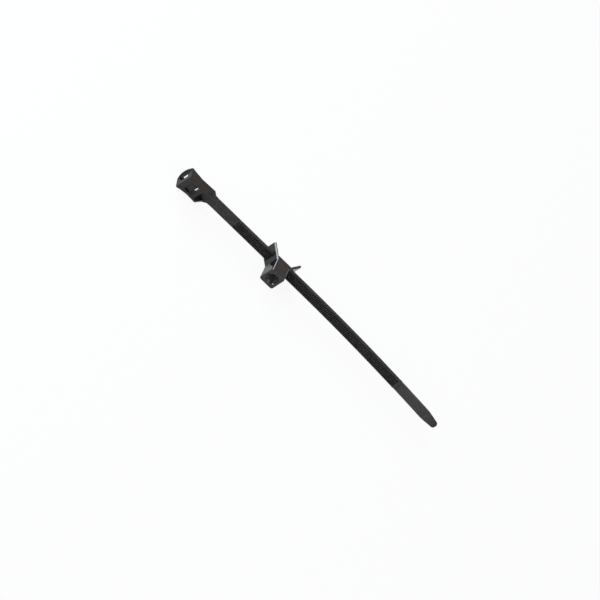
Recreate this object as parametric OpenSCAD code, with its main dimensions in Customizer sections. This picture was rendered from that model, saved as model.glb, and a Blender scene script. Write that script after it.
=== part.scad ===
// Cable tie with a screw mount: a strap with outside teeth and an in-line head, threaded through a
// saddle that is screwed to a wall and carries the cables in its cradle. The tie lies on its edge.
// X runs from the head to the tail, Y from the saddle's screw face to its cradle, Z across the strap.
// The origin is the centre of the screw hole's mouth.

/* [Strap] */
// Width of the strap
strap_w = 9; // [8:0.1:10]
// Thickness of the strap at its rails
strap_t = 1.6; // [1.5:0.1:2]
// Width of each plain rail beside the teeth
rail_w = 1.2; // [0.8:0.1:2]
// Distance from one tooth to the next
tooth_pitch = 1.285; // [1:0.005:1.5]
// Number of teeth
tooth_count = 120; // [100:1:140]
// Depth of the gaps between the teeth, below the rails
tooth_depth = 0.65; // [0.4:0.05:0.7]
// How far the teeth stay below the rails
crest_drop = 0.1; // [0.05:0.05:0.3]
// Plain length between the head's shoulders and the first tooth
neck_len = 23; // [15:0.1:40]
// Plain land behind the last tooth
land_len = 1.2; // [0.6:0.1:4]
// Length of strap that curls, measured back from the tip
curl_len = 133; // [60:1:140]
// Radius of the curl
curl_r = 1200; // [600:10:3000]

/* [Tail] */
// Length of the tail grip with its tip
grip_len = 38.8; // [25:0.5:60]
// Width of the tail grip
grip_w = 8.8; // [7:0.1:9]
// Step from the rails down to the grip's face
grip_step = 0.3; // [0.1:0.05:0.5]
// Step from the strap's back in to the grip's back
grip_back = 0.1; // [0.05:0.05:0.3]
// Number of ribs along the grip
rib_count = 5; // [3:1:6]
// Width of a grip rib
rib_w = 0.6; // [0.4:0.05:0.9]
// Height of a grip rib
rib_h = 0.22; // [0.1:0.02:0.3]
// Length of the taper at the tip
tip_len = 11; // [6:0.5:16]
// Width across the tip's end
tip_w = 5; // [4.4:0.1:6.5]
// Corner radius of the tip
tip_r = 2; // [0.5:0.1:2.1]

/* [Head] */
// Length of the roof over the channel
roof_len = 15.3; // [14.8:0.1:16]
// Length of the side walls at full height
wall_len = 17.8; // [16.6:0.1:22]
// Width of the head at its shoulders
head_w = 13.8; // [12.6:0.1:15]
// Width of the head at its waist, behind the flared mouth
waist_w = 12.9; // [12.2:0.1:13.4]
// Width of the head at its mouth
mouth_w = 15.6; // [14:0.1:17]
// Height of the roof above the strap's toothed face
roof_h = 5.6; // [4.8:0.1:6.5]
// Extra height of the roof at the mouth
mouth_rise = 0.6; // [0.2:0.1:1]
// How far the roof is cut back at the mouth
mouth_slant = 1.4; // [0.6:0.1:2]
// Length of the roof's flare behind the mouth
flare_len = 5; // [3.5:0.1:5.2]
// Length of the side walls' flare behind the mouth
side_len = 10; // [6:0.1:12]
// Length of the ramp from the side walls down to the strap
ramp_len = 4.2; // [2.5:0.1:6]
// Length over which the shoulders narrow to the strap
shoulder_len = 3.1; // [2.5:0.1:5]
// Height of the channel that takes the tail
channel_h = 2.6; // [2.4:0.1:3]
// Room for the tail at each side of the channel
channel_gap = 0.3; // [0.2:0.05:0.5]
// Depth of the channel's floor below the strap's toothed face
channel_relief = 0.1; // [0.05:0.05:0.3]
// Widening of the channel at the mouth
funnel = 0.8; // [0.2:0.1:1]
// Length of the guide lip inside the mouth
lip_len = 1.2; // [1:0.1:3]
// How far the lip's round front stands out of the mouth
lip_out = 1.6; // [1:0.1:3]
// Bulge of the lip behind the strap's back
lip_bulge = 0.5; // [0.3:0.1:1.2]
// Depth of the guide groove along the lip
lip_groove = 0.3; // [0.1:0.05:0.5]
// Width of the guides in the channel's corners behind the mouth
guide_w = 1.2; // [0.5:0.1:1.3]
// Height of the upper guides
guide_h = 0.8; // [0.4:0.1:0.8]
// Distance from the mouth to the end of the window under the channel
window_to = 15.5; // [13:0.1:16]

/* [Pawl] */
// Distance from the mouth to the root of the locking pawl
pawl_from = 5.6; // [5.3:0.1:7]
// Length of the pawl
pawl_len = 5.4; // [4.5:0.1:6]
// Width of the pawl
pawl_w = 6.6; // [5:0.1:7]
// Slit at each side of the pawl
pawl_slit = 0.9; // [0.3:0.1:1]
// Slot behind the pawl's free end
pawl_slot = 1.3; // [0.8:0.1:2]
// How far the pawl's root lies below the roof
pawl_drop = 0.6; // [0.4:0.1:1.8]
// How far the pawl's free end lies below the roof
pawl_tip_drop = 0.3; // [0.2:0.1:1]
// Thickness of the pawl's tongue
pawl_t = 1.4; // [0.8:0.1:1.6]
// How far the pawl's teeth hang into the channel
pawl_bite = 0.8; // [0.3:0.1:1.2]

/* [Saddle] */
// Distance from the head's mouth to the middle of the saddle
saddle_at = 88.9; // [50:0.1:115]
// Length of the saddle's block along the strap
base_len = 11.7; // [10.8:0.1:14]
// Width of the saddle across the strap
base_w = 13.5; // [12.8:0.1:16]
// Height of the cradle's floor above the screw face
floor_h = 14.6; // [13:0.1:18]
// How far the waist, where the wings start, lies below the floor
waist_drop = 3; // [2:0.1:3]
// Thickness of a wing
wing_t = 1.7; // [1.7:0.1:2.4]
// Length of a wing along its outer face
wing_len = 12.2; // [9:0.1:14]
// Slope of a wing from the strap's direction
wing_angle = 56; // [56:1:65]
// Radius of the block's upright edges
block_r = 1.5; // [0.5:0.1:2]
// Radius of a wing's inner edges
wing_r = 0.6; // [0.3:0.1:0.6]
// Slanted flat along a wing's outer edges
wing_flat = 0.8; // [0.4:0.1:0.9]
// Depth of the strap's seat in the cradle's floor
seat_d = 0.15; // [0.1:0.05:0.5]
// Room above and below the strap in the saddle
strap_gap = 0.3; // [0.1:0.05:0.4]
// Room at each edge of the strap in the saddle
edge_gap = 0.4; // [0.15:0.05:0.6]
// Radius of the screw hole
bore_r = 4; // [2.5:0.1:4.4]
// Depth of the screw hole
bore_depth = 11; // [6:0.1:11.5]

/* [Hidden] */
$fn = 64;
nylon_black = [0.13, 0.13, 0.14];
nylon_grey = [0.2, 0.2, 0.21];

// Facets in a rounded corner and in half the lip's front, and stations along the curl
corner_steps = 6;
lip_steps = 10;
curl_steps = 24;
// Overlap that lets two joined solids share volume, and reach of a cut past the outside
overlap = 0.6;
reach = 2;

// How far the upper guides stay behind the mouth's plane
guide_in = 0.05;

// Radii of the head's edges and blends: lip, mouth, roof flare, wall end, ramp foot, side flare, shoulders
lip_edge_r = 0.3;
mouth_edge_r = 0.5;
roof_flare_r = 5;
wall_end_r = 0.7;
ramp_foot_r = 1.5;
side_flare_r = 8;
shoulder_r = 1.2;
neck_r = 1.5;
taper_r = 12;

// Shape of a strap tooth, in shares of the pitch: end of its steep face and end of its flat crest
tooth_steep = 0.2;
tooth_crest = 0.45;

// Teeth of the pawl: how many, share of the pitch to each root, and rise from one to the next
bite_count = 3;
bite_root = 0.85;
bite_rise = 0.1;

// Radius beside the wings' slanted flats, and length of a wing's root inside the block
flat_r = 0.2;
wing_root = base_len / 3;

// Stations along the strap, measured from the head's mouth
ramp_to = wall_len + ramp_len;
head_len = ramp_to + shoulder_len;
ladder_from = head_len + neck_len;
ladder_to = ladder_from + tooth_count * tooth_pitch;
strap_to = ladder_to + land_len;
tie_len = strap_to + grip_len;
curl_from = tie_len - curl_len;
pawl_to = pawl_from + pawl_len;

// Height that every cut from above reaches, over the toothed face
above = roof_h + mouth_rise + reach;

// The strap's toothed face lies on its seat in the cradle
face_y = floor_h - seat_d + strap_gap;
channel_w = strap_w + 2 * channel_gap;
teeth_w = strap_w - 2 * rail_w;

// Direction of the strap, in degrees, at a distance from the mouth
function turn(along) = max(0, along - curl_from) / curl_r * 180 / PI;

// Point at a distance from the mouth and a height above the toothed face
function at(along, height) = [
    min(along, curl_from) - saddle_at + (curl_r - height) * sin(turn(along)),
    face_y - curl_r + (curl_r - height) * cos(turn(along))
];
function on_strap(points) = [for (p = points) at(p[0], p[1])];

// Stations from one end of the curled stretch to another place along it
function stations(from, to) = concat(
    [from],
    [for (i = [0:curl_steps]) let (s = curl_from + i * curl_len / curl_steps) if (s > from && s < to) s],
    [to]
);
function reversed(list) = [for (i = [len(list) - 1:-1:0]) list[i]];

// Corner of an outline as an arc, from its three points and a radius
function unit(v) = v / norm(v);
function corner(a, b, c, r) = let (
    to_a = unit([a[0] - b[0], a[1] - b[1]]),
    to_c = unit([c[0] - b[0], c[1] - b[1]]),
    half = acos(to_a * to_c) / 2,
    tip = [b[0], b[1]],
    centre = tip + unit(to_a + to_c) * r / sin(half),
    first = tip + to_a * r / tan(half) - centre,
    last = tip + to_c * r / tan(half) - centre
) [for (i = [0:corner_steps]) centre + unit(first * (corner_steps - i) + last * i) * r];

// Outline from points [x, y, radius]
function rounded(points) = let (n = len(points)) [
    for (i = [0:n - 1]) let (b = points[i])
        each b[2] > 0 ? corner(points[(i + n - 1) % n], b, points[(i + 1) % n], b[2]) : [[b[0], b[1]]]
];

// Outline of a rectangle with round corners, centred
function round_rect(w, h, r) = rounded([
    [-w / 2, -h / 2, r], [w / 2, -h / 2, r], [w / 2, h / 2, r], [-w / 2, h / 2, r]
]);

// Half outline mirrored to a whole one
function both_sides(half) = concat(half, [for (p = reversed(half)) [p[0], -p[1]]]);

// Solid from an outline seen from the side, centred across the strap
module side_prism(points, width) linear_extrude(width, center = true) polygon(points);

// Solid from an outline seen from above the toothed face
module plan_prism(points, height) rotate([90, 0, 0]) linear_extrude(height, center = true) polygon(points);

// Outside of the head and the strap, from the side
head_side = rounded([
    [lip_len + lip_bulge, -strap_t, 0],
    [lip_len, -strap_t - lip_bulge, lip_edge_r],
    [-lip_out, -strap_t - lip_bulge, lip_edge_r],
    [-lip_out, lip_groove - funnel, lip_edge_r],
    [0, lip_groove - funnel, lip_edge_r],
    [mouth_slant, roof_h + mouth_rise, mouth_edge_r],
    [flare_len, roof_h, roof_flare_r],
    [wall_len, roof_h, wall_end_r],
    [ramp_to, 0, ramp_foot_r],
    [head_len, 0, 0]
]);
strap_top = [for (s = stations(head_len + overlap, strap_to)) [s, 0]];
strap_back = [for (s = stations(head_len, strap_to)) [s, -strap_t]];

// Outside of the head and the strap, from above, with the lip's round front
lip_r = ((mouth_w / 2) ^ 2 + lip_out ^ 2) / (2 * lip_out);
lip_turn = asin(mouth_w / 2 / lip_r) / lip_steps;
lip_front = [for (i = [0:lip_steps - 1])
    [lip_r - lip_out - lip_r * cos(i * lip_turn), lip_r * sin(i * lip_turn), 0]];
head_plan = rounded(concat(lip_front, [
    [0, mouth_w / 2, lip_edge_r],
    [side_len, waist_w / 2, side_flare_r],
    [ramp_to, head_w / 2, shoulder_r],
    [head_len, strap_w / 2, neck_r],
    [strap_to + reach, strap_w / 2, 0],
    [strap_to + reach, 0, 0]
]));
grip_plan = rounded([
    [strap_to - reach, grip_w / 2, 0],
    [tie_len - tip_len, grip_w / 2, taper_r],
    [tie_len, tip_w / 2, tip_r],
    [tie_len, 0, 0]
]);
function along_x(half) = [for (p = both_sides(half)) [at(p[0], 0)[0], p[1]]];

// Head and strap before their cuts: the bar under the mouth is arched by a wide cylinder
module tie_blank() {
    arch_r = ((mouth_w / 2) ^ 2 + lip_bulge ^ 2) / (2 * lip_bulge);
    intersection() {
        side_prism(on_strap(concat(head_side, strap_top, reversed(strap_back))), mouth_w + reach);
        plan_prism(along_x(head_plan), 2 * curl_r);
        translate([-saddle_at - lip_out - reach, face_y + strap_t + lip_bulge - arch_r, 0])
            rotate([0, 90, 0]) cylinder(r = arch_r, h = tie_len + lip_out + 2 * reach, $fn = 180);
    }
}

// Channel for the tail: funnel at the mouth, window through the strap's back, exit open at the top
module channel() {
    below = -strap_t - lip_bulge - reach;
    side_prism(on_strap([
        [-lip_out - reach, -funnel], [0, -funnel], [lip_len, -channel_relief],
        [lip_len, below], [window_to, below], [window_to, -channel_relief],
        [ramp_to + overlap, -channel_relief], [ramp_to + overlap, above],
        [roof_len, above], [roof_len, channel_h], [lip_len + mouth_slant, channel_h],
        [mouth_slant, channel_h + funnel], [-lip_out - reach, channel_h + funnel]
    ]), channel_w);
}

// Start of the upper guides at a height, just behind the mouth's slanted plane
function guide_from(height) = guide_in + mouth_slant * (height + funnel - lip_groove)
    / (roof_h + mouth_rise + funnel - lip_groove);

// Guides in the channel's corners, which lead the tail in from the mouth
module mouth_guides() {
    low = channel_h - guide_h;
    high = channel_h + funnel + overlap;
    upper = on_strap([
        [guide_from(low), low], [flare_len, low],
        [flare_len, channel_h + overlap], [guide_from(high), high]
    ]);
    lower = on_strap([
        [lip_len - overlap, -strap_t], [flare_len, -strap_t],
        [flare_len, -channel_relief], [lip_len - overlap / 2, -channel_relief]
    ]);
    for (side = [-1, 1])
        translate([0, 0, side * (channel_w - guide_w + overlap) / 2]) {
            side_prism(upper, guide_w + overlap);
            side_prism(lower, guide_w + overlap);
        }
}

// Opening in the roof round the pawl
module pawl_opening() {
    side_prism(on_strap([
        [pawl_from, channel_h - overlap], [pawl_to + pawl_slot, channel_h - overlap],
        [pawl_to + pawl_slot, above], [pawl_from, above]
    ]), pawl_w + 2 * pawl_slit);
}

// Locking pawl: a tongue from the front bridge, with teeth that match the strap's pitch
module pawl() {
    root_top = roof_h - pawl_drop;
    tip_top = roof_h - pawl_tip_drop;
    bite = channel_h - pawl_bite;
    side_prism(on_strap(concat(
        [[pawl_from - overlap, root_top - pawl_t], [pawl_from - overlap, root_top]],
        [[pawl_from + pawl_t, root_top], [pawl_to - pawl_t, tip_top], [pawl_to, tip_top - pawl_t / 2]],
        [for (i = [0:bite_count - 1]) each [
            [pawl_to - i * tooth_pitch, bite + i * bite_rise],
            [pawl_to - (i + bite_root) * tooth_pitch, bite + tooth_depth + i * bite_rise]
        ]]
    )), pawl_w);
}

// Gaps between the strap's teeth: the steep face of each tooth looks at the head
module tooth_gaps() {
    gaps = [for (i = [0:tooth_count - 1]) let (s = ladder_from + i * tooth_pitch) each [
        [s, -tooth_depth],
        [s + tooth_steep * tooth_pitch, -crest_drop],
        [s + tooth_crest * tooth_pitch, -crest_drop]
    ]];
    lid = [for (s = stations(ladder_from, ladder_to)) [s, reach]];
    side_prism(on_strap(concat(gaps, [[ladder_to, -tooth_depth]], reversed(lid))), teeth_w);
}

// Smooth tail grip with ribs along it, thinner than the strap and tapered to the tip
module grip() {
    face = -grip_step;
    back = -strap_t + grip_back;
    grip_from = strap_to - overlap;
    rib_from = strap_to + land_len;
    rib_to = tie_len - tip_len;
    rib_pitch = grip_w / (rib_count + 1);
    intersection() {
        side_prism(on_strap(concat(
            [for (s = stations(grip_from, tie_len + reach)) [s, face]],
            reversed([for (s = stations(grip_from, tie_len + reach)) [s, back]])
        )), strap_w + reach);
        plan_prism(along_x(grip_plan), 2 * curl_r);
    }
    for (i = [1:rib_count])
        translate([0, 0, -grip_w / 2 + i * rib_pitch])
            side_prism(on_strap(concat(
                [for (s = stations(rib_from, rib_to)) [s, face + rib_h]],
                reversed([for (s = stations(rib_from, rib_to)) [s, (face + back) / 2]])
            )), rib_w);
}

// One-piece tie: head with its pawl, plain neck, toothed strap and tail grip
module cable_tie() {
    color(nylon_black) {
        difference() {
            tie_blank();
            channel();
            pawl_opening();
            tooth_gaps();
        }
        mouth_guides();
        pawl();
        grip();
    }
}

// Section of a wing, with round inner and slanted outer edges
wing_section = rounded([
    [wing_t / 2, -base_w / 2, wing_r],
    [wing_t / 2, base_w / 2, wing_r],
    [wing_flat - wing_t / 2, base_w / 2, flat_r],
    [-wing_t / 2, base_w / 2 - wing_flat, flat_r],
    [-wing_t / 2, wing_flat - base_w / 2, flat_r],
    [wing_flat - wing_t / 2, -base_w / 2, flat_r]
]);

// Wing of the cradle, rising from the waist of the block
module wing() {
    translate([base_len / 2, floor_h - waist_drop, 0]) rotate([0, 0, wing_angle])
        translate([-wing_root, wing_t / 2, 0]) rotate([90, 0, 90])
            linear_extrude(wing_len + wing_root) polygon(wing_section);
}

// Saddle: block with the screw hole, two wings from its square top, and a window for the strap
module saddle_mount() {
    window_w = strap_w + 2 * edge_gap;
    span = base_len + 2 * wing_len;
    color(nylon_grey) difference() {
        union() {
            rotate([-90, 0, 0]) linear_extrude(floor_h) polygon(round_rect(base_len, base_w, block_r));
            translate([(wing_r - base_len) / 2, floor_h - waist_drop + wing_r, -base_w / 2])
                cube([base_len - wing_r, waist_drop - wing_r, base_w]);
            wing();
            mirror([1, 0, 0]) wing();
        }
        translate([-span / 2, floor_h - seat_d, -window_w / 2])
            cube([span, strap_t + 2 * strap_gap, window_w]);
        translate([0, bore_depth, 0]) rotate([90, 0, 0]) cylinder(r = bore_r, h = bore_depth + reach);
    }
}

saddle_mount();
cable_tie();
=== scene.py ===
# %% [markdown]
# # A cable tie with a screw mount
# The object is a black nylon cable tie: a strap with teeth on its outside, a head that the tail is pulled
# through, and a ribbed tail grip. A separate saddle rides on the strap. It is screwed to a wall by the
# hole in its square face, and its two wings cradle the cables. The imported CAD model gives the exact
# sizes. This lesson gives the two mouldings the soft edges, the thread and the nylon of the real thing.

# %% Open the frame
import math

import bmesh
import bpy
from mathutils import Matrix, Vector


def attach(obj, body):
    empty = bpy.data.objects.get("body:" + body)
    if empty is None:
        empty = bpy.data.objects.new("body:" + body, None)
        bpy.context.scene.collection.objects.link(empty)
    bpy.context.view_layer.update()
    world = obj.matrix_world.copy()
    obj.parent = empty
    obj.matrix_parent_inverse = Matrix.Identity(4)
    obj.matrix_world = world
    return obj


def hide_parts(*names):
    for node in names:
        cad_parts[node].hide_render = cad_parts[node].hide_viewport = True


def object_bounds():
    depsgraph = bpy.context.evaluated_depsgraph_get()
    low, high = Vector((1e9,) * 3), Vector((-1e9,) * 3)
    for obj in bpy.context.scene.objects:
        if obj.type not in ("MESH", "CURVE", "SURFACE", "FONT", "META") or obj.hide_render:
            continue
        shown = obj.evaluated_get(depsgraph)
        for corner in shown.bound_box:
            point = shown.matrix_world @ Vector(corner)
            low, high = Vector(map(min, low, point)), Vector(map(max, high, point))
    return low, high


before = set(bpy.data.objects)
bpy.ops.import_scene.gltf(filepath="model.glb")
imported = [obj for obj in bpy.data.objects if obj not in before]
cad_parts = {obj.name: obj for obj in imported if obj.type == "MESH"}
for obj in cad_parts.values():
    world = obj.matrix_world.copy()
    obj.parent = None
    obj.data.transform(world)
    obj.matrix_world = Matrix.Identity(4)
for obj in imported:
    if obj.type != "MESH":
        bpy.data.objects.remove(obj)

cad_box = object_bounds()
bpy.ops.object.select_all(action="DESELECT")
bpy.context.scene.view_settings.view_transform = "Standard"

# %% [markdown]
# ## Measures
# Blender works in metres and the CAD in millimetres, so the lesson keeps its measures in millimetres and
# turns them into metres with one factor. X runs from the head to the tail, Y from the saddle's screw face
# to its cradle, and Z across the strap. The middle of the screw hole's mouth is the origin.

# %% Measures
MM = 0.001

print("CAD box in mm:", [[round(c / MM, 2) for c in corner] for corner in cad_box])

# %% [markdown]
# ## The camera
# The photograph was taken from far away, almost without perspective, and the tie lies across the picture
# from the upper left to the lower right. A long lens six metres away gives that view. The camera is turned
# about its own axis, and it is aimed so that the origin falls on the pixel where the photograph has it.

# %% Directions of the view
AZIMUTH = math.radians(-21.05)
ELEVATION = math.radians(37.86)
ROLL = math.radians(57.38)

view = Vector((
    math.sin(AZIMUTH) * math.cos(ELEVATION),
    -math.cos(AZIMUTH) * math.cos(ELEVATION),
    math.sin(ELEVATION),
))
level = Vector((math.cos(AZIMUTH), math.sin(AZIMUTH), 0.0))
upright = view.cross(level)
right = math.cos(ROLL) * level + math.sin(ROLL) * upright
up = math.cos(ROLL) * upright - math.sin(ROLL) * level
print("towards the camera:", [round(c, 3) for c in view])

# %% Camera
DISTANCE = 6.0
CLIP_END = 24.0
FRAME_PIXELS = 600
PIXELS_PER_MM = 1.5255
ORIGIN_PIXEL = (271.93, 279.2)
SENSOR_MM = 36.0

half_frame = FRAME_PIXELS / 2
aim = right * (half_frame - ORIGIN_PIXEL[0]) + up * (ORIGIN_PIXEL[1] - half_frame)
aim = aim * MM / PIXELS_PER_MM
turn = Matrix((right, up, view)).transposed()

bpy.ops.object.camera_add(location=aim + view * DISTANCE, rotation=turn.to_euler())
camera = bpy.context.object
camera.name = "photo_camera"
camera.data.sensor_width = SENSOR_MM
camera.data.lens = SENSOR_MM * DISTANCE * PIXELS_PER_MM / (FRAME_PIXELS * MM)
camera.data.clip_end = CLIP_END
bpy.context.scene.camera = camera
print("lens in mm:", round(camera.data.lens, 1))

# %% [markdown]
# ## Shader maths in Python
# Every finish below is a small tree of nodes. Wiring them by hand hides the idea, so a value of the tree is
# wrapped in a class that knows the operators: `1 - mask * 0.4` then adds the Math nodes itself. All other
# nodes come from one method, which takes the node's type, its settings and what goes into its sockets.

# %% Values of a shader
class Value:
    """An output socket of a node tree that can be used in Python expressions."""

    def __init__(self, finish, socket):
        self.finish = finish
        self.socket = socket

    def math(self, operation, first, second):
        return self.finish.node("ShaderNodeMath", {"operation": operation}, {0: first, 1: second})

    def __add__(self, other):
        return self.math("ADD", self, other)

    def __radd__(self, other):
        return self.math("ADD", other, self)

    def __sub__(self, other):
        return self.math("SUBTRACT", self, other)

    def __rsub__(self, other):
        return self.math("SUBTRACT", other, self)

    def __mul__(self, other):
        return self.math("MULTIPLY", self, other)

    def __rmul__(self, other):
        return self.math("MULTIPLY", other, self)

print("operators of a shader value: add, subtract, multiply")

# %% Trees of nodes
MIX_SHARE = 0
MIX_FIRST_COLOUR = 6
MIX_SECOND_COLOUR = 7
MIX_COLOUR_OUT = 2


class Finish:
    """A node tree that is filled node by node."""

    def __init__(self, owner):
        owner.use_nodes = True
        self.owner = owner
        self.tree = owner.node_tree
        self.tree.nodes.clear()

    def node(self, kind, settings, sockets, output=0):
        made = self.tree.nodes.new(kind)
        for name, setting in settings.items():
            if name == "stops":
                self.set_stops(made.color_ramp, setting)
            else:
                setattr(made, name, setting)
        for name, value in sockets.items():
            if isinstance(value, Value):
                self.tree.links.new(value.socket, made.inputs[name])
            else:
                made.inputs[name].default_value = value
        return Value(self, made.outputs[output]) if made.outputs else None

    def set_stops(self, ramp, stops):
        for element, (place, tone) in zip(ramp.elements, stops):
            element.position = place
            element.color = (tone, tone, tone, 1.0)

    def noise(self, place, scale, detail, roughness=0.5):
        sockets = {"Vector": place, "Scale": scale, "Detail": detail, "Roughness": roughness}
        return self.node("ShaderNodeTexNoise", {}, sockets)

    def ramp(self, value, low, high):
        stops = [(low, 0.0), (high, 1.0)]
        return self.node("ShaderNodeValToRGB", {"stops": stops}, {"Fac": value})

    def stretched(self, place, scale):
        return self.node("ShaderNodeMapping", {"vector_type": "POINT"}, {"Vector": place, "Scale": scale})

    def mixed(self, share, first, second):
        sockets = {MIX_SHARE: share, MIX_FIRST_COLOUR: first, MIX_SECOND_COLOUR: second}
        return self.node("ShaderNodeMix", {"data_type": "RGBA"}, sockets, output=MIX_COLOUR_OUT)

print("helpers of a finish: node, noise, ramp, stretched, mixed")

# %% [markdown]
# ## Floor and room
# The photograph is a studio picture on white. The floor is a large pale plane under the edge that the tie
# lies on. It could be lit until it is white, but that would bleach the part as well. So camera rays see
# most of it as plain white, and mirror rays see a third of it so. The rest of it is a pale paper that still
# takes the shadow.

# %% Floor
FLOOR_SIZE = 8.0
FLOOR_GAP = 0.02
FLOOR_COLOUR = (0.71, 0.78, 0.86, 1.0)
WHITE = (1.0, 1.0, 1.0, 1.0)
WHITE_LEVEL = 1.0
WHITE_SHARE = 0.9
MIRROR_SHARE = 0.3
RAYS = "ShaderNodeLightPath"

floor_z = cad_box[0][2] - FLOOR_GAP * MM
bpy.ops.mesh.primitive_plane_add(size=FLOOR_SIZE, location=(0, 0, floor_z))
floor = bpy.context.object
floor.name = "floor"

paper = Finish(bpy.data.materials.new("white_paper"))
seen = paper.node(RAYS, {}, {}, output="Is Camera Ray")
mirrored = paper.node(RAYS, {}, {}, output="Is Glossy Ray")
through = paper.node(RAYS, {}, {}, output="Is Transmission Ray")
lit = paper.node("ShaderNodeBsdfDiffuse", {}, {"Color": FLOOR_COLOUR})
plain = paper.node("ShaderNodeEmission", {}, {"Color": WHITE, "Strength": WHITE_LEVEL})
share = (seen + through) * WHITE_SHARE + mirrored * MIRROR_SHARE
sheet = paper.node("ShaderNodeMixShader", {}, {0: share, 1: lit, 2: plain})
paper.node("ShaderNodeOutputMaterial", {}, {"Surface": sheet})
floor.data.materials.append(paper.owner)
print("floor at", round(floor_z / MM, 2), "mm")

# %% Room
WORLD_COLOUR = (1.0, 0.89, 0.8, 1.0)
WORLD_LEVEL = 0.6

world = bpy.data.worlds.new("studio")
bpy.context.scene.world = world
room = Finish(world)
seen = room.node(RAYS, {}, {}, output="Is Camera Ray")
glow = room.node("ShaderNodeBackground", {}, {"Color": WORLD_COLOUR, "Strength": WORLD_LEVEL})
white = room.node("ShaderNodeBackground", {}, {"Color": WHITE, "Strength": WHITE_LEVEL})
mixed = room.node("ShaderNodeMixShader", {}, {0: seen, 1: glow, 2: white})
room.node("ShaderNodeOutputWorld", {}, {"Surface": mixed})
print("room light:", WORLD_LEVEL)

# %% [markdown]
# ## Lamps
# Black plastic shows little colour of its own: what is seen is mostly what it mirrors. So four soft lamps
# stand where faces and rolled edges mirror them towards the camera. The strongest is behind the head and a
# smaller one beside it, on the side where the edges of the wings shine. One in front lights the upper edges
# of the strap, and a low one lights the saddle's screw face.

# %% Lamps
def soft_lamp(name, towards, far, size, watts, colour):
    place = Vector(towards).normalized() * far
    bpy.ops.object.light_add(type="AREA", location=place)
    lamp = bpy.context.object
    lamp.name = name
    lamp.rotation_euler = place.to_track_quat("Z", "Y").to_euler()
    lamp.data.size = size
    lamp.data.energy = watts
    lamp.data.color = colour

soft_lamp(
    "lamp_behind_head", towards=(-0.57, 0.7, 0.38), far=1.4, size=0.7, watts=11.0, colour=(0.88, 0.94, 1.0)
)
soft_lamp(
    "lamp_beside_head", towards=(-0.77, 0.03, 0.64), far=1.4, size=0.45, watts=7.0, colour=(0.95, 0.97, 1.0)
)
soft_lamp(
    "lamp_front", towards=(0.28, -0.6, 0.71), far=1.6, size=0.7, watts=4.0, colour=(1.0, 0.98, 0.96)
)
soft_lamp(
    "lamp_low_front", towards=(-0.74, -0.59, 0.24), far=1.6, size=0.4, watts=5.0, colour=(1.0, 0.98, 0.97)
)

# %% [markdown]
# ## A clean copy of a CAD solid
# The two mouldings come from the CAD, so nothing is modelled twice. A CAD mesh is loose triangles, which no
# bevel can follow, and it has to stay as it is. So a copy is made. Its triangles are joined, flat neighbours
# are merged into one face, and edges too short for a roll are closed up. A number called wear is added to
# each face, 0 for now, which the nylon reads later.

# %% Copy of a CAD solid
SAME_PLACE = 0.002
SAME_FLAT = math.radians(0.05)


def start_copy(node, name, shortest):
    bpy.ops.object.select_all(action="DESELECT")
    piece = bpy.data.objects.new(name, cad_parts[node].data.copy())
    piece.data.name = name
    piece.data.materials.clear()
    bpy.context.scene.collection.objects.link(piece)
    piece.select_set(True)
    bpy.context.view_layer.objects.active = piece
    bpy.ops.mesh.customdata_custom_splitnormals_clear()
    bpy.ops.object.mode_set(mode="EDIT")
    bpy.ops.mesh.select_all(action="SELECT")
    bpy.ops.mesh.remove_doubles(threshold=SAME_PLACE * MM)
    bpy.ops.mesh.dissolve_limited(angle_limit=SAME_FLAT)
    bpy.ops.mesh.remove_doubles(threshold=shortest * MM)
    bpy.ops.object.mode_set(mode="OBJECT")
    piece.data.attributes.new("wear", "FLOAT", "FACE")
    print(name, "starts with", len(piece.data.polygons), "faces")
    return piece

tie = start_copy("cable_tie", "tie_moulding", shortest=0.05)

# %% [markdown]
# ## Cutting and sinking
# A roll that stops in the middle of a long edge folds the faces beside it. A cut across the strap, made by
# bisect, gives it an edge to stop at, and changes no shape. Sinking moves chosen corners into the material,
# for a groove. Each tool goes into edit mode with nothing selected, picks what it needs by its place, and
# comes back.

# %% Cut and sink
def open_mesh(piece, parts):
    bpy.context.view_layer.objects.active = piece
    bpy.ops.object.mode_set(mode="EDIT")
    bpy.ops.mesh.select_mode(type=parts)
    bpy.ops.mesh.select_all(action="DESELECT")
    return bmesh.from_edit_mesh(piece.data)


def cut(piece, x, near):
    shape = open_mesh(piece, "FACE")
    for face in shape.faces:
        face.select_set(any(near(v.co / MM) for v in face.verts))
    bmesh.update_edit_mesh(piece.data)
    bpy.ops.mesh.bisect(plane_co=Vector((x, 0, 0)) * MM, plane_no=(1, 0, 0))
    bpy.ops.object.mode_set(mode="OBJECT")
    print(piece.name, "cut at", x, "mm")


def sink(piece, chosen, depth):
    shape = open_mesh(piece, "VERT")
    for vertex in shape.verts:
        vertex.select_set(chosen(vertex.co / MM))
    count = sum(vertex.select for vertex in shape.verts)
    bmesh.update_edit_mesh(piece.data)
    bpy.ops.transform.translate(value=(0, depth * MM, 0))
    bpy.ops.object.mode_set(mode="OBJECT")
    print(piece.name, "sunk by", depth, "mm:", count, "corners")

# %% [markdown]
# ## Rolling an edge
# A CAD solid has knife edges, and a moulding has none: its edges are small rolls that catch the light. One
# bevel modifier could round them all, but each place has a roll of its own. So the edges are picked by their
# place and bevelled in passes. The new faces get their wear, because the edges are what rubs.

# %% Roll
SHARP = 40.0


def is_knife(edge, sharp):
    outward = len(edge.link_faces) == 2 and edge.is_convex
    return outward and edge.calc_face_angle() >= math.radians(sharp)


def mark_wear(piece, wear):
    shape = bmesh.from_edit_mesh(piece.data)
    layer = shape.faces.layers.float["wear"]
    for face in shape.faces:
        if face.select:
            face[layer] = max(face[layer], wear)
    bmesh.update_edit_mesh(piece.data)


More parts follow.
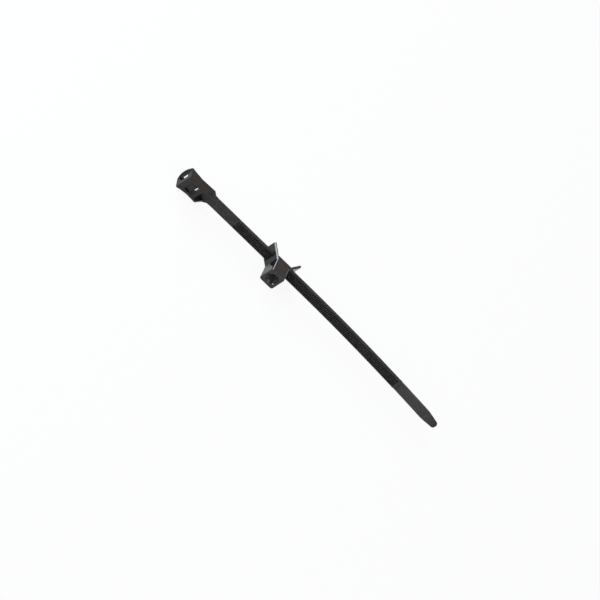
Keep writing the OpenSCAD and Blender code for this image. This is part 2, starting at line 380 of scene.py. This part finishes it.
def soften(piece, chosen, width, segments, wear=1.0, sharp=SHARP, slide=True):
    shape = open_mesh(piece, "EDGE")
    count = 0
    for edge in shape.edges:
        a, b = (v.co / MM for v in edge.verts)
        if is_knife(edge, sharp) and chosen(a, b):
            edge.select_set(True)
            count += 1
    bmesh.update_edit_mesh(piece.data)
    bpy.ops.mesh.bevel(
        offset=width * MM, segments=segments, affect="EDGES", clamp_overlap=False,
        loop_slide=slide, miter_outer="ARC"
    )
    mark_wear(piece, wear)
    bpy.ops.object.mode_set(mode="OBJECT")
    print(piece.name, "roll of", width, "mm:", count, "edges,", len(piece.data.polygons), "faces")

# %% [markdown]
# ## Shading
# Smooth shading runs from one face into the next, and on a large flat it leaves smears. A narrow rim, inset
# into each large flat, holds the flat level, and weighted normals then let the big faces lead. Auto smooth
# would need a file from outside, so the smooth angle is set once and the modifier is applied.

# %% Shading
FLAT_RIM = 0.02
SMOOTH_TURN = math.radians(32)


def hold_flats(piece, flats):
    shape = open_mesh(piece, "FACE")
    for face in shape.faces:
        corners = [v.co / MM for v in face.verts]
        face.select_set(flats(corners, face.calc_area() / (MM * MM)))
    bmesh.update_edit_mesh(piece.data)
    bpy.ops.mesh.inset(thickness=FLAT_RIM * MM, use_even_offset=False, use_individual=True)
    bpy.ops.object.mode_set(mode="OBJECT")


def close_shading(piece, flats=None):
    bpy.ops.object.select_all(action="DESELECT")
    piece.select_set(True)
    bpy.context.view_layer.objects.active = piece
    if flats:
        hold_flats(piece, flats)
    bpy.ops.object.shade_smooth_by_angle(angle=SMOOTH_TURN)
    level_faces = piece.modifiers.new("level_faces", "WEIGHTED_NORMAL")
    level_faces.keep_sharp = True
    bpy.ops.object.modifier_apply(modifier=level_faces.name)
    print(piece.name, "shaded,", len(piece.data.polygons), "faces")

# %% [markdown]
# ## The tie
# The tie is one moulding: the head with its locking pawl, a plain neck, the strap with its teeth between two
# rails, and the ribbed grip. Its places along X tell which edge belongs to what. Three cuts across it mark
# where the rolls of the strap and the grip stop. The edges inside the head stay sharp, as they are hidden
# and too close together for rolls.

# %% Places on the tie
MOUTH_X = -88.9
RAMP_END = -67.0
HEAD_END = -63.0
ROLL_FROM = -62.0
LADDER_FROM = -40.8
CURL_FROM = 18.0
LADDER_TO = 113.3
ROLL_TO = 113.9
STRAP_TO = 114.5
GRIP_FROM = 115.0
TIP_X = 153.1
STRAP_HALF = 4.5
TEETH_HALF = 3.3
CHANNEL_HALF = 4.8
SLACK = 0.1
STRAIGHT_RUN = 0.9


def crosswise(a, b):
    return abs(a.z - b.z) > STRAIGHT_RUN * (a - b).length


def lengthwise(a, b):
    return abs(a.x - b.x) > STRAIGHT_RUN * (a - b).length


def beyond(a, b, half):
    return min(abs(a.z), abs(b.z)) > half

print("tie from", MOUTH_X, "to", TIP_X, "mm")

# %% Cuts across the strap
def past_mouth(p):
    return p.x > MOUTH_X

for x in (ROLL_FROM, ROLL_TO, GRIP_FROM):
    cut(tie, x, past_mouth)

# %% [markdown]
# ## The pawl's hinge
# The pawl is a tongue that bends at its root when the tail is pulled past it. A real one has a thin place
# there, a groove across the tongue. Two cuts could be pushed in together, but the root already ends in an
# edge, so one cut is enough: the corners between it and the root are sunk.

# %% Hinge groove
PAWL_FROM = -83.4
PAWL_TO = -77.5
PAWL_HALF = 3.35
HINGE_TO = -81.85
HINGE_LOW = 9.6
HINGE_HIGH = 9.9
HINGE_DEPTH = 1.1
BEFORE_CUT = 0.02


def on_pawl(p):
    return PAWL_FROM < p.x < PAWL_TO and abs(p.z) < PAWL_HALF


def on_hinge(p):
    return on_pawl(p) and p.x < HINGE_TO - BEFORE_CUT and HINGE_LOW < p.y < HINGE_HIGH

cut(tie, HINGE_TO, on_pawl)
sink(tie, on_hinge, HINGE_DEPTH)

# %% [markdown]
# ## Rolls of the tie
# The crests of the teeth get only a touch, because they have to lock. The long outer edges of the strap get
# the widest roll, so that it doesn't cut into a cable. The head is crisper, with a small roll on the lip that
# guides the tail in. The grip has fine ribs and a smooth roll all round, as it is meant for fingers.

# %% Rolls of the teeth and the strap
TOOTH_ROOM = 0.3


def on_teeth(a, b):
    inside = LADDER_FROM - TOOTH_ROOM < a.x < LADDER_TO + TOOTH_ROOM
    return inside and crosswise(a, b) and not beyond(a, b, TEETH_HALF + SLACK)


def on_strap_edges(a, b):
    between_ends = min(a.x, b.x) > ROLL_FROM - SLACK and max(a.x, b.x) < ROLL_TO + SLACK
    return between_ends and beyond(a, b, STRAP_HALF - SLACK) and lengthwise(a, b)

soften(tie, on_teeth, width=0.06, segments=1, wear=0.5, sharp=25.0)
soften(tie, on_strap_edges, width=0.45, segments=4)

# %% Rolls of the head
MOUTH_ROOM = 0.5
LIP_HALF = 6.3


def on_head_outside(a, b):
    if max(a.x, b.x) > HEAD_END or min(a.x, b.x) < MOUTH_X + MOUTH_ROOM or crosswise(a, b):
        return False
    half = CHANNEL_HALF + SLACK if max(a.x, b.x) < RAMP_END else STRAP_HALF - SLACK
    return beyond(a, b, half)


def on_lip(a, b):
    at_mouth = min(a.x, b.x) < MOUTH_X + SLACK and max(abs(a.z), abs(b.z)) < LIP_HALF
    return at_mouth and crosswise(a, b)

soften(tie, on_head_outside, width=0.15, segments=3)
soften(tie, on_lip, width=0.14, segments=2)

# %% Rolls of the grip
RIBS_AFTER = 1.0
RIBS_INSIDE = 0.6
GRIP_MIDDLE = 1.5


def on_grip_ribs(a, b):
    return min(a.x, b.x) > STRAP_TO + RIBS_AFTER and not beyond(a, b, STRAP_HALF - RIBS_INSIDE)


def on_grip_outside(a, b):
    on_grip = min(a.x, b.x) > GRIP_FROM - SLACK and max(a.x, b.x) > GRIP_FROM + SLACK
    return on_grip and beyond(a, b, GRIP_MIDDLE)

soften(tie, on_grip_ribs, width=0.08, segments=2)
soften(tie, on_grip_outside, width=0.25, segments=4, sharp=50.0)

# %% Shading of the tie
TIE_FLAT_AREA = 4.0


def tie_flats(corners, area):
    straight = all(p.x < CURL_FROM for p in corners)
    in_channel = all(p.x < HEAD_END and abs(p.z) < CHANNEL_HALF + SLACK for p in corners)
    return straight and not in_channel and area > TIE_FLAT_AREA

close_shading(tie, tie_flats)

# %% [markdown]
# ## The saddle
# The saddle is a square block with a screw hole in its face and two flared wings. It is smoother than the
# tie, with a wide roll round its square face and along the block's top, and narrow ones at the ends of its
# thin wings and in the windows for the strap. The mouth of the screw hole has a plain countersink, which is
# a roll of one flat step, so that the screw finds its way in.

# %% Places on the saddle
BORE_R = 4.0
BLOCK_TOP = 14.6
BLOCK_HALF = 6.75
LEVEL_ROOM = 0.05

saddle = start_copy("saddle_mount", "saddle_moulding", shortest=0.04)


def from_axis(p):
    return math.hypot(p.x, p.z)

# %% Rolls of the block
RIM_AFTER = 1.2
SIDE_ROOM = 0.3


def on_hole_mouth(a, b):
    return max(a.y, b.y) < LEVEL_ROOM and max(from_axis(a), from_axis(b)) < BORE_R + SLACK


def on_face_rim(a, b):
    return max(a.y, b.y) < LEVEL_ROOM and min(from_axis(a), from_axis(b)) > BORE_R + RIM_AFTER


def on_block_top(a, b):
    level_top = min(a.y, b.y) > BLOCK_TOP - LEVEL_ROOM and max(a.y, b.y) < BLOCK_TOP + LEVEL_ROOM
    return level_top and beyond(a, b, BLOCK_HALF - SIDE_ROOM) and lengthwise(a, b)

soften(saddle, on_hole_mouth, width=0.55, segments=1, slide=False)
soften(saddle, on_face_rim, width=0.5, segments=4)
soften(saddle, on_block_top, width=0.4, segments=4)

# %% Rolls of the wings
WING_END = 4.5
WINDOW_BELOW = 0.3
WINDOW_INSIDE = 1.0


def on_wing_ends(a, b):
    return min(a.y, b.y) > BLOCK_TOP + WING_END


def on_windows(a, b):
    inside = min(a.y, b.y) > BLOCK_TOP - WINDOW_BELOW and not beyond(a, b, BLOCK_HALF - WINDOW_INSIDE)
    return inside and crosswise(a, b)

soften(saddle, on_wing_ends, width=0.18, segments=3)
soften(saddle, on_windows, width=0.12, segments=2)

# %% Shading of the saddle
SADDLE_FLAT_AREA = 2.0


def saddle_flats(corners, area):
    return area > SADDLE_FLAT_AREA

close_shading(saddle, saddle_flats)

# %% [markdown]
# ## The thread
# The screw hole of the CAD is a plain bore at the thread's root. The thread is one small tooth profile, drawn
# once and swept up the hole by a Screw modifier. Rings would be simpler, but a screw could not turn in them.
# The foot of the profile sits a little inside the wall, so no gap shows.

# %% Profile of the thread
THREAD_PITCH = 1.25
THREAD_CREST_R = 3.42
FOOT_IN_WALL = 0.08
THREAD_FOOT_R = BORE_R + FOOT_IN_WALL
THREAD_FOOT_HALF = 0.52
THREAD_CREST_HALF = 0.09
THREAD_FROM = 1.2
THREAD_TO = 9.9

bpy.ops.object.select_all(action="DESELECT")
bpy.ops.mesh.primitive_plane_add(size=1.0, location=(0, 0, 0))
thread = bpy.context.object
thread.name = "screw_thread"
thread.data.name = "screw_thread"
profile = [
    (THREAD_FOOT_R, THREAD_FROM - THREAD_FOOT_HALF),
    (THREAD_FOOT_R, THREAD_FROM + THREAD_FOOT_HALF),
    (THREAD_CREST_R, THREAD_FROM + THREAD_CREST_HALF),
    (THREAD_CREST_R, THREAD_FROM - THREAD_CREST_HALF),
]
shape = open_mesh(thread, "VERT")
for corner, (radius, height) in zip(shape.faces[:][0].verts, profile):
    corner.co = Vector((radius, height, 0.0)) * MM
bmesh.update_edit_mesh(thread.data)
bpy.ops.mesh.select_all(action="SELECT")
bpy.ops.mesh.delete(type="ONLY_FACE")
bpy.ops.object.mode_set(mode="OBJECT")
print("profile corners:", len(thread.data.vertices))

# %% Sweep of the thread
STEPS_PER_TURN = 48

turns = int((THREAD_TO - THREAD_FROM) / THREAD_PITCH)
sweep = thread.modifiers.new("sweep", "SCREW")
sweep.axis = "Y"
sweep.angle = math.tau * turns
sweep.screw_offset = THREAD_PITCH * turns * MM
sweep.steps = STEPS_PER_TURN * turns
sweep.render_steps = STEPS_PER_TURN * turns
sweep.use_smooth_shade = True
bpy.ops.object.modifier_apply(modifier=sweep.name)
print("thread:", turns, "turns")

# %% [markdown]
# ## The start of the thread
# A thread doesn't start with a blunt end, as the screw would catch on it. Both ends of the sweep are closed
# with a face, and over the first part of a turn the crest is moved out to the wall, so that it grows slowly.

# %% Ends of the thread
LEAD_IN = 0.3
LEAST_GROWN = 0.05
CREST_ROOM = 0.1

open_mesh(thread, "EDGE")
bpy.ops.mesh.select_non_manifold(extend=False, use_boundary=True)
bpy.ops.mesh.edge_face_add()
shape = bmesh.from_edit_mesh(thread.data)
for vertex in shape.verts:
    radius = math.hypot(vertex.co.x, vertex.co.z) / MM
    turned = (vertex.co.y / MM - THREAD_FROM) / THREAD_PITCH
    if radius < THREAD_CREST_R + CREST_ROOM and turned < LEAD_IN:
        grown = max(LEAST_GROWN, turned / LEAD_IN)
        wide = (THREAD_FOOT_R + (THREAD_CREST_R - THREAD_FOOT_R) * grown) / radius
        vertex.co.x *= wide
        vertex.co.z *= wide
bmesh.update_edit_mesh(thread.data)
bpy.ops.mesh.select_all(action="SELECT")
bpy.ops.mesh.normals_make_consistent(inside=False)
bpy.ops.object.mode_set(mode="OBJECT")
thread.data.attributes.new("wear", "FLOAT", "FACE")
close_shading(thread)

# %% [markdown]
# ## The nylon
# Both mouldings are black nylon. The tool's surface leaves a fine grain, the melt leaves faint clouds, and
# handling leaves dust and pale rubbed edges. The tie came from a dull tool, with fine drag lines along the
# strap. The saddle came from a polished one, so it mirrors the white floor on its steep faces. One colour
# would look like rubber, so one recipe mixes these marks, and each moulding takes its own amounts.

# %% Marks in the nylon
CLOUDS = {"scale": 140.0, "detail": 3.0}
PEBBLES = {"scale": 700.0, "detail": 2.0, "roughness": 0.6}
SPECKS = {"scale": 5200.0, "detail": 2.0, "roughness": 0.6}
LINES = {"scale": 1.0, "detail": 3.0}
LINE_STRETCH = (120.0, 2400.0, 2400.0)
RUBS = {"scale": 420.0, "detail": 3.0}
GRAIN_RANGE = (0.46, 0.7)
RUB_RANGE = (0.35, 0.7)
# Where along the tail the grip is made paler.
GRIP_PALE_FROM = ((STRAP_TO - 2.0) * MM, (STRAP_TO + 6.0) * MM)
GRIP_PALE_TO = ((TIP_X - 14.0) * MM, (TIP_X - 3.0) * MM)

# The head's tone is darkened by painted shade. A ramp has no stops below zero, so the ramp of this painted
# shade is read from a point ahead of the mouth.
AHEAD = 100.0
NECK_RANGE = ((AHEAD + RAMP_END) * MM, (AHEAD + HEAD_END) * MM)
HEAD_PAINTED_SHADE_LEVEL = 0.4
print("size of the grain in mm:", round(1 / (PEBBLES["scale"] * MM), 2))

# %% Amounts of each mark
CLOUD_MIDDLE = 0.4
CLOUD_TONE = 0.25
RUB_TONE = 0.2
MIDDLE = 0.5
CLOUD_ROUGHNESS = 0.12
PEBBLE_ROUGHNESS = 0.2
PEBBLE_HEIGHT = 0.6
SPECK_HEIGHT = 0.3
RELIEF_DEPTH = 0.05
NYLON_IOR = 1.46
COAT_ROUGHNESS = 0.2


def nylon(name, dark, pale, rough, mottle, drag, grip_paleness, coat, relief):
    finish = Finish(bpy.data.materials.new(name))
    place = finish.node("ShaderNodeTexCoord", {}, {}, output="Object")
    along = finish.node("ShaderNodeSeparateXYZ", {}, {"Vector": place}, output="X")
    clouds = finish.noise(place, **CLOUDS)
    pebbles = finish.noise(place, **PEBBLES)
    grain = finish.ramp(pebbles, *GRAIN_RANGE)
    specks = finish.noise(place, **SPECKS)
    lines = finish.noise(finish.stretched(place, LINE_STRETCH), **LINES)
    wear = finish.node("ShaderNodeAttribute", {"attribute_name": "wear"}, {}, output="Fac")
    rubbed = wear * finish.ramp(finish.noise(place, **RUBS), *RUB_RANGE)
    # The grip is made paler than the strap.
    grip = finish.ramp(along, *GRIP_PALE_FROM) - finish.ramp(along, *GRIP_PALE_TO)
    tone = grain * mottle + (clouds - CLOUD_MIDDLE) * CLOUD_TONE + (lines - MIDDLE) * drag
    tone = tone + rubbed * RUB_TONE + grip * grip_paleness
    # Painted shade: the head's tone is darkened, and the full tone comes back along the neck.
    strap = finish.ramp(along + AHEAD * MM, *NECK_RANGE)
    tone = tone * (HEAD_PAINTED_SHADE_LEVEL + strap * (1 - HEAD_PAINTED_SHADE_LEVEL))
    colour = finish.mixed(finish.ramp(tone, 0.0, 1.0), dark, pale)
    roughness = rough + (clouds - MIDDLE) * CLOUD_ROUGHNESS
    roughness = roughness + (pebbles - MIDDLE) * PEBBLE_ROUGHNESS * mottle
    height = pebbles * PEBBLE_HEIGHT + specks * SPECK_HEIGHT + lines * drag
    bump = finish.node("ShaderNodeBump", {}, {
        "Strength": relief, "Distance": RELIEF_DEPTH * MM, "Height": height,
    })
    surface = finish.node("ShaderNodeBsdfPrincipled", {}, {
        "Base Color": colour, "Roughness": roughness, "Normal": bump,
        "IOR": NYLON_IOR, "Coat Weight": coat, "Coat Roughness": COAT_ROUGHNESS,
    })
    finish.node("ShaderNodeOutputMaterial", {}, {"Surface": surface})
    print(name, "has", len(finish.tree.nodes), "nodes")
    return finish.owner

# %% The two nylons
tie_nylon = nylon(
    "tie_nylon", dark=(0.0034, 0.003, 0.0033, 1.0), pale=(0.05, 0.045, 0.049, 1.0),
    rough=0.34, mottle=0.65, drag=0.2, grip_paleness=0.72, coat=0.0, relief=0.6
)
saddle_nylon = nylon(
    "saddle_nylon", dark=(0.004, 0.0038, 0.0052, 1.0), pale=(0.034, 0.033, 0.042, 1.0),
    rough=0.15, mottle=0.25, drag=0.05, grip_paleness=0.0, coat=0.25, relief=0.12
)

# %% [markdown]
# ## Handing over
# Each piece gets its nylon and is hung on the CAD body that carries it. The thread belongs to the saddle.

# %% Hand over
for piece, finish, body, slot in (
    (tie, tie_nylon, "tie", "tie_nylon"),
    (saddle, saddle_nylon, "saddle", "saddle_nylon"),
    (thread, saddle_nylon, "saddle", "saddle_nylon"),
):
    piece.data.materials.clear()
    piece.data.materials.append(finish)
    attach(piece, body)
    print(piece.name, "rides on", body, "in", slot)
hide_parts("cable_tie")
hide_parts("saddle_mount")
